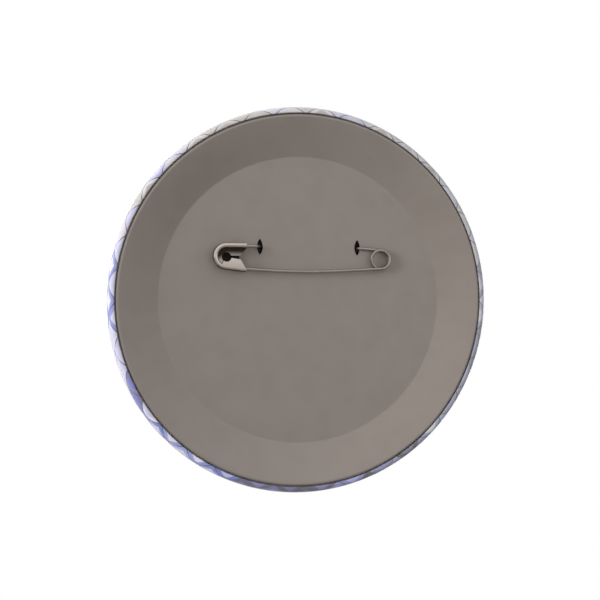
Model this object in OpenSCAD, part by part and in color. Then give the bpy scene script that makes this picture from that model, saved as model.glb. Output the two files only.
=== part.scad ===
// Button badge with a safety pin back.
//
// A domed face shell carries a printed disc under a clear film. The three are rolled over together
// at the rim, and the roll locks a pressed back plate in place. A safety pin is threaded through
// two slots in the plate: its fixed arm runs behind the plate from slot to slot, so the whole pin
// swings on that hidden stretch. The needle springs from a coil and closes into a folded clasp.
//
// The badge stands as it is worn. +Z is up, the printed face looks towards -Y, and the origin is
// the middle of the rim plane, the plane that lies on the cloth.

/* [Badge] */
// Radius over the clear film at the widest circle
badge_r = 28.5; // [24:0.5:36]
// Thickness from the rim plane to the crown of the printed face
badge_thick = 6.2; // [5:0.1:8]
// Width of the rolled rim as seen from the back
rim_band = 1.3; // [1.2:0.05:1.6]
// Radius of the side, from the widest circle towards the rim
side_r = 4; // [3.3:0.1:6]
// Radius of the shoulder between the side and the crown
shoulder_r = 2.4; // [1.8:0.1:2.8]
// Radius of the roll at the crest of the rim
crest_r = 0.6; // [0.5:0.05:0.8]
// Radius of the fold where the rim turns down to the back plate
lip_r = 0.25; // [0.22:0.01:0.32]
// Width of the narrow flat that the die leaves on the crest
land_w = 0.12; // [0.08:0.01:0.2]

/* [Sheet and print] */
// Thickness of the clear film
film_t = 0.08; // [0.05:0.01:0.1]
// Thickness of the printed disc
paper_t = 0.1; // [0.08:0.01:0.12]
// Thickness of the face shell's tinplate
shell_t = 0.25; // [0.18:0.01:0.3]
// Thickness of the back plate's tinplate
plate_t = 0.3; // [0.2:0.01:0.4]
// Gap between layers that are pressed together
layer_gap = 0.02; // [0.01:0.005:0.03]

/* [Back plate] */
// Radius of the flat in the middle of the back plate
disc_r = 21.1; // [18:0.1:24]
// Depth of that flat below the rim plane
disc_depth = 2.5; // [2:0.1:3.2]
// Radius of the bend between the flat and the sloping ring
ring_bend_r = 0.6; // [0.3:0.1:1.5]
// Radius of the bead at the top of the sloping ring
bead_r = 0.35; // [0.32:0.01:0.5]
// Depth of the top of the bead below the rim plane
bead_drop = 0.15; // [0.1:0.01:0.25]
// Gap between the back plate and the rolled rim that holds it
plate_gap = 0.03; // [0.02:0.01:0.05]
// Gap round the edge of the plate's flange, inside the side of the shell
flange_gap = 0.06; // [0.04:0.01:0.15]

/* [Slots] */
// Place along X of the slot next to the clasp
clasp_slot_x = 6.4; // [5:0.1:8]
// Place along X of the slot next to the coil
coil_slot_x = -8.45; // [-10:0.05:-7]
// Height of both slots, and of the fixed arm, above the middle of the badge
slot_z = 7.85; // [6:0.05:10]
// Length of a slot, from point to point
slot_len = 2.4; // [2:0.1:3]
// Width of a slot at its middle
slot_w = 0.9; // [0.8:0.05:1.2]

/* [Pin wire] */
// Diameter of the pin's wire
wire_d = 0.48; // [0.4:0.01:0.55]
// Gap between the fixed arm and the back of the plate
arm_gap = 0.03; // [0.02:0.01:0.06]
// Steepness of the wire where it passes through a slot
jog_angle = 65; // [55:1:75]
// Inner bend radius of the wire's middle line at a slot
jog_r = 0.5; // [0.4:0.05:0.6]
// Bend radius where the arm dips towards the coil
dip_r = 1.5; // [1:0.1:2]
// Straight stretch between the slot's bend and that dip
dip_lead = 0.15; // [0.12:0.01:0.3]
// Lean of the wire down through the slot next to the coil
arm_lean = 8; // [0:1:12]

/* [Coil] */
// Radius of the coil at the middle of the wire
coil_r = 1.39; // [1.2:0.01:1.6]
// Place of the coil's axis along X
coil_x = -11.85; // [-13:0.05:-11]
// Height of the coil's axis
coil_z = 6.08; // [5.8:0.02:6.2]
// Gap between neighbouring turns of the coil
turn_gap = 0.03; // [0.02:0.01:0.06]
// Gap between the coil and the face of the back plate
coil_gap = 0.16; // [0.1:0.01:0.2]

/* [Needle] */
// Downward angle at which the needle leaves the coil
root_angle = 3.2; // [2:0.1:4.5]
// Upward angle at which the needle enters the clasp
tip_angle = 3.4; // [3:0.1:5]
// Length of the straight stretch beside the coil
root_len = 6.1; // [5:0.1:7]
// Radius of the bow in the middle of the needle
bow_r = 100; // [85:1:110]
// Length of the straight stretch between the bow and the ground point
shaft_len = 2.5; // [2:0.05:3.5]
// Length of the ground point
point_len = 3.6; // [3:0.1:4.5]
// Diameter that the point is ground down to
point_d = 0.08; // [0.05:0.01:0.12]
// Gap between the coil's end and the ball on the needle's root
root_gap = 0.02; // [0.01:0.01:0.05]

/* [Clasp] */
// Thickness of the clasp's sheet
clasp_t = 0.18; // [0.12:0.01:0.22]
// Thickness over the closed clasp, from its back to its front
clasp_w = 1.6; // [1.5:0.05:1.8]
// Radius of the fold round the back of the clasp
clasp_fold_r = 0.75; // [0.7:0.01:0.8]
// Radius of the rolled rim round the front of the clasp
clasp_rim_r = 0.35; // [0.3:0.01:0.4]
// Bend radius at the foot of the panel that is pressed in behind that rim
panel_r = 0.25; // [0.2:0.01:0.3]
// How far round the closed end the pressed-in panel reaches
panel_turn = 150; // [120:5:165]
// Distance from the middle of the closed end to the end of the lower leg
clasp_len = 3.05; // [2.7:0.05:3.4]
// How much shorter the upper leg is
mouth_step = 0.15; // [0:0.05:0.3]
// Distance from the middle of the closed end to the tip of the needle
clasp_tip = 0.2; // [0:0.05:0.4]
// Distance of the closed needle from the middle of the clasp, towards the back plate
needle_seat = 0.2; // [0.1:0.05:0.25]
// Radius of the round hole in the closed end, where the slit ends
hole_r = 0.69; // [0.6:0.01:0.75]
// Distance of that hole below the middle of the closed end
hole_drop = 0.14; // [0:0.01:0.2]
// Distance of the upper flap's edge above the middle of the closed end
flap_stop = 0.07; // [0:0.01:0.15]
// Distance of the lower lip's edge below the middle of the closed end
lip_drop = 0.17; // [0.12:0.01:0.3]
// Slope of the lip's edge down towards the mouth
lip_slope = 9; // [8:0.5:12]
// Depth of the notch between the two legs at the mouth
notch_depth = 1.05; // [0.8:0.05:1.2]
// Gap between the clasp and the wires that it holds
clasp_gap = 0.03; // [0.02:0.01:0.05]

/* [Hidden] */

$fn = 72;
wire_r = wire_d / 2;

// Depths of the layers, measured from the outside of the film
paper_out = film_t + layer_gap;
paper_in = paper_out + paper_t;
shell_out = paper_in + layer_gap;
shell_in = shell_out + shell_t;
edge_break = 0.02;

// A bend is a hair slimmer than the straight wires it joins, and is let a little way into both
bend_waist = 0.004;
bend_lap = 1;
bow_lap = 0.1;

// How far a cut reaches past the faces it opens
cut_over = 0.02;

// Outline of the rim. The side and the crest meet on one tangent.
rim_r = badge_r - rim_band;
crest_x = rim_r + lip_r + land_w;
side_x = badge_r - side_r;
side_a = acos((crest_x - side_x) / (side_r - crest_r));
widest_depth = crest_r + (side_r - crest_r) * sin(side_a);

// Outline of the crown. The dome is tangent to the shoulder.
shoulder_x = badge_r - shoulder_r;
crown_rise = badge_thick - widest_depth;
dome_r = (shoulder_x * shoulder_x + crown_rise * crown_rise - shoulder_r * shoulder_r)
       / (2 * (crown_rise - shoulder_r));
dome_a = asin(shoulder_x / (dome_r - shoulder_r));

// Outline of the back plate. The ring is tangent to its two bends.
skirt_r = rim_r - plate_gap;
bead_x = skirt_r - bead_r;
bead_y = -bead_drop - bead_r;
bend_y = -disc_depth + ring_bend_r;
ring_a = atan2(bead_y - bend_y, bead_x - disc_r)
       + asin((ring_bend_r + bead_r) / norm([bead_x - disc_r, bead_y - bend_y]));
flange_y = hem_y(0) - plate_gap;
flange_r = side_x + sqrt(pow(side_r - shell_in, 2) - pow(widest_depth + flange_y, 2)) - flange_gap;

// Planes of the pin: the hinge stretch behind the plate, the coil's two ends and the clasp
hinge_y = -disc_depth - plate_t - arm_gap - wire_r;
coil_y = -disc_depth + coil_gap + wire_r;
coil_pitch = wire_d + turn_gap;

// Jogs of the wire through the slots. Each one crosses the plate in the middle of its slot.
cross_rise = wire_r + arm_gap + plate_t / 2;
cross_x = jog_r * sin(jog_angle) + (cross_rise - jog_r * (1 - cos(jog_angle))) / tan(jog_angle);
coil_jog_x = coil_slot_x + cross_x;
clasp_jog_x = clasp_slot_x - cross_x;

// The arm leans through its second slot and then dips onto the coil's circle
lean_rise = (coil_y - hinge_y) / cos(arm_lean);
lean_drop = lean_rise * sin(arm_lean);
dip_x = coil_jog_x - jog_run(lean_rise) - dip_lead;
dip_to_axis = [dip_x - coil_x, slot_z - lean_drop - coil_z];
coil_start = atan2(dip_to_axis[1], dip_to_axis[0]) + acos(coil_r / norm(dip_to_axis));
dip_angle = coil_start - 90;
dip_half = dip_r * tan(dip_angle / 2);
dip_len = sqrt(pow(norm(dip_to_axis), 2) - coil_r * coil_r) - dip_half;

// The coil turns once and a half, and its end becomes the root of the needle
coil_end = 630 - root_angle;
coil_rise = coil_pitch * (coil_end - coil_start) / 360;
coil_steps = 60;
coil_sides = 14;
root_trim = (wire_r + root_gap) / coil_r * 180 / PI;
needle_y = coil_y + coil_rise;
root = [coil_x + coil_r * cos(coil_end), needle_y, coil_z + coil_r * sin(coil_end)];

// Places along the needle's middle line, as [x, z] from its root
bow_angle = root_angle + tip_angle;
bow_start = root_len * [cos(root_angle), -sin(root_angle)];
bow_end = bow_start + bow_r * [sin(root_angle) + sin(tip_angle), cos(root_angle) - cos(tip_angle)];
shaft_end = bow_end + shaft_len * [cos(tip_angle), sin(tip_angle)];
tip = shaft_end + point_len * [cos(tip_angle), sin(tip_angle)];

// The clasp's closed end is a circle that is tangent to both legs. The lower leg follows the
// underside of the ground point, and the upper leg follows the fixed arm, with its panel pressed
// in until it meets the arm.
leg_angle = tip_angle + asin((wire_r - point_d / 2) / point_len);
clasp_top = slot_z + wire_r + clasp_gap + clasp_t;
clasp_x = root[0] + tip[0] - clasp_tip;
fold_room = clasp_fold_r - clasp_t - clasp_gap - wire_r;
fold_offset = needle_seat - (clasp_w / 2 - clasp_fold_r);
leg_drop = clasp_fold_r - sqrt(fold_room * fold_room - fold_offset * fold_offset);
leg_point = [root[0], root[2]] + shaft_end + leg_drop * [sin(leg_angle), -cos(leg_angle)];
clasp_r = ((clasp_top - leg_point[1]) * cos(leg_angle) - (clasp_x - leg_point[0]) * sin(leg_angle))
        / (1 + cos(leg_angle));
clasp_z = clasp_top - clasp_r;
panel_dip = clasp_w / 2 - clasp_t - clasp_gap - wire_r;
clasp_y = needle_y + needle_seat;
arm_end_x = clasp_x;

// Points of an arc, without its first point, so that arcs can be chained
function arc(centre, radius, from, to, steps) =
  [for (i = [1:steps]) let (a = from + (to - from) * i / steps) centre + radius * [cos(a), sin(a)]];

function reverse(points) = [for (i = [len(points) - 1:-1:0]) points[i]];

// Height of the tucked hem of the layer surface that lies this deep in the rim
function hem_y(depth) = -(shell_in + shell_out - depth);

// Length along the hinge line that a jog through a slot takes up
function jog_run(rise) =
  2 * jog_r * sin(jog_angle) + jog_straight(rise) * cos(jog_angle);
function jog_straight(rise) = (rise - 2 * jog_r * (1 - cos(jog_angle))) / sin(jog_angle);

// Half section of the badge's outside at a depth below the film, from the crown to the crest
function skin(depth) = concat(
  [[0, -badge_thick + depth]],
  arc([0, dome_r - badge_thick], dome_r - depth, -90, -90 + dome_a, 10),
  arc([shoulder_x, -widest_depth], shoulder_r - depth, -90 + dome_a, 0, 12),
  arc([side_x, -widest_depth], side_r - depth, 0, side_a, 6),
  arc([crest_x, -crest_r], crest_r - depth, side_a, 90, 8));

// The fold over the shell's edge, down to the tucked hem
function fold(depth) = concat(
  [[rim_r + lip_r, -depth]],
  arc([rim_r + lip_r, -lip_r], lip_r - depth, 90, 180, 6),
  [[rim_r + depth, hem_y(depth)], [crest_x, hem_y(depth)]]);

// Turns a half section, drawn as [radius, y], about the badge's axis
module turned() {
  rotate([-90, 0, 0]) rotate_extrude() children();
}

// A wrapped layer that follows the skin, folds over the shell's edge and is tucked under it
module wrapped_layer(outside, inside) {
  turned() polygon(concat(skin(outside), fold(outside), reverse(fold(inside)), reverse(skin(inside))));
}

// A pointed slot through the flat of the back plate
module slot(x) {
  side = (slot_len * slot_len + slot_w * slot_w) / (4 * slot_w);
  translate([x, -disc_depth + plate_t, slot_z])
    rotate([90, 0, 0])
      linear_extrude(3 * plate_t)
        intersection() {
          translate([side - slot_w / 2, 0]) circle(side);
          translate([slot_w / 2 - side, 0]) circle(side);
        }
}

// A bend of the wire that starts at the origin along +X and turns towards +Y, or -Y if negative
module wire_bend(angle, radius) {
  mirror([0, angle < 0 ? 1 : 0, 0])
    translate([0, radius, 0])
      rotate([0, 0, -90 - bend_lap])
        rotate_extrude(angle = abs(angle) + 2 * bend_lap)
          translate([radius, 0]) circle(d = wire_d - bend_waist, $fn = 36);
}

// A run of wire along +X. Each step is [straight length, bend angle, bend radius, roll], and the
// roll turns the plane of that step's bend about the wire. The children go on from its end.
module wire_run(steps, i = 0) {
  if (i < len(steps)) {
    straight = steps[i][0];
    angle = steps[i][1];
    radius = steps[i][2];
    rotate([steps[i][3], 0, 0]) {
      if (straight > 0) rotate([0, 90, 0]) cylinder(d = wire_d, h = straight, $fn = 36);
      translate([straight, 0, 0]) {
        if (angle != 0) wire_bend(angle, radius);
        translate([radius * sin(abs(angle)), sign(angle) * radius * (1 - cos(angle)), 0])
          rotate([0, 0, angle])
            wire_run(steps, i + 1);
      }
    }
  }
}

// Ring of points round the coil's wire at one angle of the coil
function coil_ring(a) =
  let (y = coil_y + coil_pitch * (a - coil_start) / 360)
  [for (k = [0:coil_sides - 1])
    let (b = 360 * k / coil_sides, r = coil_r + wire_r * cos(b))
    [r * cos(a), y + wire_r * sin(b), r * sin(a)]];

// Half section of the clasp's channel from its back wall, over the fold and the rolled rim, to its
// front, as [distance from the closed end's middle, y]. Behind the rim the front is pressed in to
// the depth dip.
function channel(inner_end, dip) =
  concat(channel_side(inner_end, dip, 0), reverse(channel_side(inner_end, dip, clasp_t)));

// One side of the sheet, this deep below its outer surface
function channel_side(inner_end, dip, depth) =
  let (half = clasp_w / 2,
       fold = [clasp_r - clasp_fold_r, clasp_fold_r - half],
       rim = [clasp_r - clasp_rim_r, half - clasp_rim_r],
       turn = acos(1 - dip / (clasp_rim_r + panel_r)),
       foot = rim + (clasp_rim_r + panel_r) * [-sin(turn), cos(turn)])
  concat(
    [[inner_end, depth - half], [fold[0], depth - half]],
    arc(fold, clasp_fold_r - depth, -90, 0, 7),
    arc(rim, clasp_rim_r - depth, 0, 90 + turn, 10),
    dip > 0 ? arc(foot, panel_r + depth, turn - 90, -90, 6) : [],
    [[inner_end, half - dip - depth]]);

module face_shell() {
  color("lightgray")
    turned()
      polygon(concat(
        skin(shell_out),
        [[rim_r + shell_out + edge_break, -shell_out],
         [rim_r + shell_out, -shell_out - edge_break],
         [rim_r + shell_out, -shell_in]],
        reverse(skin(shell_in))));
}

module print_disc() {
  color("lightsteelblue") wrapped_layer(paper_out, paper_in);
}

module clear_film() {
  color("white", 0.3) wrapped_layer(0, film_t);
}

module back_plate() {
  color([0.51, 0.47, 0.455])
    difference() {
      turned()
        polygon(concat(
          [[0, -disc_depth], [disc_r, -disc_depth]],
          arc([disc_r, bend_y], ring_bend_r, -90, -90 + ring_a, 4),
          [[bead_x, bead_y] + bead_r * [-sin(ring_a), cos(ring_a)]],
          arc([bead_x, bead_y], bead_r, 90 + ring_a, 0, 9),
          [[skirt_r, flange_y], [flange_r, flange_y], [flange_r, flange_y - plate_t],
           [skirt_r, flange_y - plate_t]],
          arc([skirt_r, flange_y], plate_t, -90, -180, 6),
          [[skirt_r - plate_t, bead_y]],
          arc([bead_x, bead_y], bead_r - plate_t, 0, 90 + ring_a, 5),
          [[disc_r, bend_y] + (ring_bend_r + plate_t) * [sin(ring_a), -cos(ring_a)]],
          arc([disc_r, bend_y], ring_bend_r + plate_t, -90 + ring_a, -90, 4),
          [[0, -disc_depth - plate_t]]));
      slot(clasp_slot_x);
      slot(coil_slot_x);
    }
}

module fixed_arm() {
  to_clasp = clasp_y - hinge_y;
  color([0.62, 0.58, 0.55]) {
    // Hinge stretch behind the plate, then the jog and the straight end inside the clasp
    translate([coil_jog_x, hinge_y, slot_z])
      wire_run([
        [clasp_jog_x - coil_jog_x, jog_angle, jog_r, 0],
        [jog_straight(to_clasp), -jog_angle, jog_r, 0],
        [arm_end_x - clasp_jog_x - jog_run(to_clasp), 0, 0, 0]]);
    // Jog through the other slot, then the dip onto the coil
    translate([coil_jog_x, hinge_y, slot_z])
      rotate([0, 0, 180])
        wire_run([
          [0, -jog_angle, jog_r, arm_lean],
          [jog_straight(lean_rise), jog_angle, jog_r, 0],
          [dip_lead - dip_half, -dip_angle, dip_r, 90 - arm_lean],
          [dip_len, 0, 0, 0]]);
  }
}

module spring_coil() {
  rings = [for (i = [0:coil_steps])
    coil_ring(coil_start + (coil_end - root_trim - coil_start) * i / coil_steps)];
  sides = coil_sides;
  color([0.62, 0.58, 0.55])
    translate([coil_x, 0, coil_z])
      polyhedron(
        points = [for (ring = rings) each ring],
        faces = concat(
          [[for (k = [0:sides - 1]) k]],
          [for (i = [0:coil_steps - 1], k = [0:sides - 1])
            let (a = i * sides + k, b = i * sides + (k + 1) % sides)
            [b, a, a + sides, b + sides]],
          [[for (k = [sides - 1:-1:0]) coil_steps * sides + k]]));
}

module needle() {
  color([0.66, 0.62, 0.59])
    translate(root)
      rotate([90, root_angle, 0]) {
        // Straight stretch with a ball on the root, which turns against the end of the coil
        rotate([0, 90, 0])
          rotate_extrude($fn = 36)
            polygon(concat(
              [[0, -wire_r]],
              arc([0, 0], wire_r, -90, 0, 6),
              [[wire_r, root_len], [0, root_len]]));
        // Bow
        translate([root_len, bow_r, 0])
          rotate([0, 0, -90 - bow_lap])
            rotate_extrude(angle = bow_angle + 2 * bow_lap, $fn = 720)
              translate([bow_r, 0]) circle(d = wire_d - bend_waist, $fn = 36);
        // Shaft and ground point
        translate([root_len + bow_r * sin(bow_angle), bow_r * (1 - cos(bow_angle)), 0])
          rotate([0, 90, bow_angle])
            rotate_extrude($fn = 36)
              polygon([
                [0, 0],
                [wire_r, 0],
                [wire_r, shaft_len],
                [point_d / 2, shaft_len + point_len],
                [0, shaft_len + point_len]]);
      }
}

// The clasp is folded from one sheet: a channel that runs along the upper leg, round the closed
// end and back along the lower leg, with its open side towards the middle. In front, the panel
// is pressed in behind the upper rim and stands level with the rim along the lower lip.
module clasp() {
  leg = clasp_len;
  rise = leg * sin(leg_angle);
  color([0.7, 0.66, 0.62])
    translate([clasp_x, clasp_y, clasp_z])
      rotate([-90, 0, 0])
        difference() {
          union() {
            // Upper leg
            rotate([90, 0, -90])
              linear_extrude(leg - mouth_step) polygon(channel(0, panel_dip));
            // Closed end
            rotate([0, 0, -90])
              rotate_extrude(angle = panel_turn) polygon(channel(0, panel_dip));
            rotate([0, 0, panel_turn - 90])
              rotate_extrude(angle = 180 - leg_angle - panel_turn) polygon(channel(0, 0));
            // Lower leg, whose lip ends at the slit
            difference() {
              rotate([0, 0, 90 - leg_angle])
                translate([0, leg, 0])
                  rotate([90, 0, 0])
                    linear_extrude(leg) polygon(channel(-rise, 0));
              front_cut() polygon(over_lip(clasp_r, rise));
            }
          }
          // Slit that ends in a round hole
          front_cut()
            union() {
              translate([0, hole_drop]) circle(hole_r);
              polygon(over_lip(0, flap_stop));
            }
          // Notch that opens the mouth and slants the ends of the legs
          translate([0, 0, -clasp_w])
            linear_extrude(2 * clasp_w)
              polygon([
                [-leg + notch_depth, -flap_stop],
                [-leg + notch_depth, lip_y(-leg + notch_depth)],
                [-leg, clasp_r + rise],
                [-leg - 1, clasp_r + rise],
                [-leg - 1, -clasp_r * 0.6],
                [-leg + mouth_step, -clasp_r * 0.6]]);
        }
}

// The lower lip's edge as seen from the front, and the outline of all above it, up to a height
function lip_y(x) = lip_drop - x * tan(lip_slope);
function over_lip(x, height) =
  [[x, -height], [x, lip_y(x)], [-2 * clasp_len, lip_y(-2 * clasp_len)], [-2 * clasp_len, -height]];

// Cuts an outline through the front of the clasp only
module front_cut() {
  translate([0, 0, clasp_w / 2 - panel_dip - clasp_t - cut_over])
    linear_extrude(clasp_w) children();
}

face_shell();
print_disc();
clear_film();
back_plate();
fixed_arm();
spring_coil();
clasp();
needle();
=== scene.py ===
"""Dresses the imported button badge: wrapped print and film, tinplate back, plated safety pin."""

import logging
import math
from dataclasses import dataclass
from enum import Enum
from itertools import accumulate
from typing import Any, Optional, Sequence, Union

import bmesh
import bpy
import numpy as np
from mathutils import Matrix, Vector

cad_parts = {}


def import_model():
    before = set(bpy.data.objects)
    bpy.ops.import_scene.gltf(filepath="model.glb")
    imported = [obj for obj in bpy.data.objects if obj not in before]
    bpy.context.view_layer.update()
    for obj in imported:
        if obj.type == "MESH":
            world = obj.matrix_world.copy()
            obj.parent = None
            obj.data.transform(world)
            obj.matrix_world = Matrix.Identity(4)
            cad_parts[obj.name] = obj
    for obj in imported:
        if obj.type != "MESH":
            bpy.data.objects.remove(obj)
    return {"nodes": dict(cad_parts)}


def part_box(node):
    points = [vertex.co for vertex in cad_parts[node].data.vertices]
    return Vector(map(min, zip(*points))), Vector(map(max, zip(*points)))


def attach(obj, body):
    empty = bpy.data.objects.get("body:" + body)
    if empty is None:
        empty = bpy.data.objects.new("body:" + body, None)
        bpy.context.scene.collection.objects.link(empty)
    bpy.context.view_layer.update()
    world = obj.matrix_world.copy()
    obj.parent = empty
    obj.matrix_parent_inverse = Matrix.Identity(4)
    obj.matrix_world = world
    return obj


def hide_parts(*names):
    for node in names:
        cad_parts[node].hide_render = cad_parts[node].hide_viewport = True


FRAME: dict[str, Any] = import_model()

MM = 0.001
# Nearly all values of a noise texture lie between these two
NOISE_LOW, NOISE_HIGH = 0.3, 0.7
# Middle of the clasp's closed end, where the fixed arm ends too, in millimetres
CLASP_X = 11.5649

Point = tuple[float, float]
Target = Union[bpy.types.NodeSocket, float, int, tuple]

log = logging.getLogger("button_badge")


class Body(Enum):
    """The rigid bodies that pieces ride on."""

    BADGE = "badge"
    PIN = "pin"
    NEEDLE = "needle"


class Slot(Enum):
    """The record's material slots."""

    TINPLATE = "tinplate"
    PRINT = "print"
    FILM = "film"
    WIRE = "wire"
    CLASP = "clasp_sheet"


def linear(code: str) -> tuple[float, float, float, float]:
    """Turns an sRGB hex colour into linear values.

    Args:
        code: A hash and six hex digits.

    Returns:
        Linear red, green and blue, and 1.
    """
    values = [int(code[i:i + 2], 16) / 255 for i in (1, 3, 5)]
    red, green, blue = (
        v / 12.92 if v <= 0.04045 else ((v + 0.055) / 1.055) ** 2.4 for v in values)
    return red, green, blue, 1.0


def add_node(
    tree: bpy.types.NodeTree,
    kind: str,
    inputs: Optional[dict[Union[str, int], Target]] = None,
    **settings: Any,
) -> bpy.types.Node:
    """Adds one node to a tree, with its settings and its links.

    Args:
        tree: A shader or geometry tree.
        kind: The node's type name.
        inputs: A socket to link, or a value to set, for each input name or number.
        settings: Values for the node's own attributes.

    Returns:
        The new node.
    """
    node = tree.nodes.new(kind)
    for name, value in settings.items():
        setattr(node, name, value)
    for name, value in (inputs or {}).items():
        if isinstance(value, bpy.types.NodeSocket):
            tree.links.new(value, node.inputs[name])
        else:
            node.inputs[name].default_value = value
    return node


def new_material(name: str) -> tuple[bpy.types.Material, bpy.types.NodeTree]:
    """Makes a material with an empty tree.

    Args:
        name: The material's name.

    Returns:
        The material and its tree.
    """
    material = bpy.data.materials.new(name)
    material.use_nodes = True
    material.node_tree.nodes.clear()
    return material, material.node_tree


def end_material(tree: bpy.types.NodeTree, looks: dict[Union[str, int], Target]) -> None:
    """Ends a material's tree with its one shader.

    Args:
        tree: The material's tree.
        looks: A socket or a value for each of the shader's inputs.
    """
    shader = add_node(tree, "ShaderNodeBsdfPrincipled", looks)
    add_node(tree, "ShaderNodeOutputMaterial", {"Surface": shader.outputs[0]})


def add_sums(
    tree: bpy.types.NodeTree, kind: str, made: dict[str, Target], sums: Sequence[tuple]
) -> None:
    """Adds the nodes of a table of sums, one for each row.

    Args:
        tree: A shader or geometry tree.
        kind: The nodes' type name.
        made: Sockets and values by name, to which each result is added.
        sums: Name, operation and operands. An operand is a value or a name from made.
    """
    for name, operation, *operands in sums:
        given = {i: made[o] if isinstance(o, str) else o for i, o in enumerate(operands)}
        made[name] = add_node(tree, kind, given, operation=operation).outputs[0]


def fill_ramp(ramp: bpy.types.Node, stops: Sequence[tuple[float, str]]) -> None:
    """Sets the stops of a colour ramp.

    Args:
        ramp: A colour ramp node.
        stops: Position and sRGB hex colour of each stop, in rising order.
    """
    elements = ramp.color_ramp.elements
    while len(elements) > 1:
        elements.remove(elements[-1])
    elements[0].position, elements[0].color = stops[0][0], linear(stops[0][1])
    for position, code in stops[1:]:
        elements.new(position).color = linear(code)


def add_object(name: str, data: bpy.types.ID) -> bpy.types.Object:
    """Puts a new object in the scene.

    Args:
        name: The object's name.
        data: Its mesh, curve, camera or lamp.

    Returns:
        The object, at the origin.
    """
    thing = bpy.data.objects.new(name, data)
    bpy.context.scene.collection.objects.link(thing)
    return thing


def new_geometry_tree(name: str, sizes: dict[str, str]) -> tuple[bpy.types.NodeTree, Any]:
    """Makes a geometry tree that takes geometry, some sizes and a material.

    Args:
        name: The tree's name.
        sizes: The kind of socket of each size, by name.

    Returns:
        The tree and the sockets of its inputs.
    """
    tree = bpy.data.node_groups.new(name, "GeometryNodeTree")
    for label, kind in {"Geometry": "Geometry", **sizes, "Material": "Material"}.items():
        tree.interface.new_socket(label, in_out="INPUT", socket_type=f"NodeSocket{kind}")
    tree.interface.new_socket("Geometry", in_out="OUTPUT", socket_type="NodeSocketGeometry")
    return tree, add_node(tree, "NodeGroupInput").outputs


def end_geometry_tree(
    tree: bpy.types.NodeTree, shape: bpy.types.NodeSocket, finish: bpy.types.NodeSocket
) -> None:
    """Ends a geometry tree with plain geometry in one material.

    Args:
        tree: The geometry tree.
        shape: The geometry to give out.
        finish: The material for it.
    """
    whole = add_node(tree, "GeometryNodeRealizeInstances", {"Geometry": shape})
    dressed = add_node(
        tree, "GeometryNodeSetMaterial", {"Geometry": whole.outputs[0], "Material": finish})
    add_node(tree, "NodeGroupOutput", {0: dressed.outputs[0]})


@dataclass(frozen=True)
class DullTinplate:
    """Tinplate: cold-rolled steel sheet, tinned, then lacquered matt, so it is dull and grey.

    The eye sees a soft broad sheen through the lacquer, very fine rolling lines one way across the
    sheet and a faint crystalline mottle of some millimetres in the tin.
    """

    colour: str = "#918882"
    shade: str = "#8b827c"
    metallic: float = 0.5
    rough: Point = (0.46, 0.56)
    grain_mm: float = 0.12
    grain_length_mm: float = 9.0
    grain_strength: float = 0.35
    lift_mm: float = 0.004
    mottle_mm: float = 3.2
    mottle_share: float = 0.35
    clouds_per_mottle: float = 0.3

    def make(self) -> bpy.types.Material:
        """Builds the material.

        Returns:
            The finished material.
        """
        material, tree = new_material("dull_tinplate")
        place = add_node(tree, "ShaderNodeTexCoord").outputs["Object"]
        # Rolling lines are finer than 0.05 mm in real sheet, and drawn coarser so that they show
        fine = 1 / self.grain_mm
        rolled = add_node(
            tree, "ShaderNodeMapping",
            {"Vector": place, "Scale": (1 / self.grain_length_mm, fine, fine)})
        lines = add_node(
            tree, "ShaderNodeTexNoise",
            {"Vector": rolled.outputs[0], "Scale": 1 / MM, "Detail": 3.0, "Roughness": 0.6})
        mottles = 1 / (self.mottle_mm * MM)
        mottle = add_node(
            tree, "ShaderNodeTexVoronoi",
            {"Vector": place, "Scale": mottles, "Smoothness": 0.8, "Detail": 2.0},
            feature="SMOOTH_F1")
        cloud = add_node(
            tree, "ShaderNodeTexNoise",
            {"Vector": place, "Scale": self.clouds_per_mottle * mottles, "Detail": 5.0})
        blend = add_node(
            tree, "ShaderNodeMix",
            {0: self.mottle_share, 2: cloud.outputs[0], 3: mottle.outputs["Distance"]})
        tone = add_node(tree, "ShaderNodeValToRGB", {0: blend.outputs[0]})
        fill_ramp(tone, [(NOISE_LOW, self.shade), (NOISE_HIGH, self.colour)])
        rough = add_node(
            tree, "ShaderNodeMapRange",
            {"Value": cloud.outputs[0], "From Min": NOISE_LOW, "From Max": NOISE_HIGH,
             "To Min": self.rough[0], "To Max": self.rough[1]})
        bump = add_node(
            tree, "ShaderNodeBump",
            {"Strength": self.grain_strength, "Distance": self.lift_mm * MM,
             "Height": lines.outputs[0]})
        end_material(tree, {
            "Base Color": tone.outputs[0], "Metallic": self.metallic,
            "Roughness": rough.outputs[0], "Normal": bump.outputs[0]})
        return material


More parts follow.
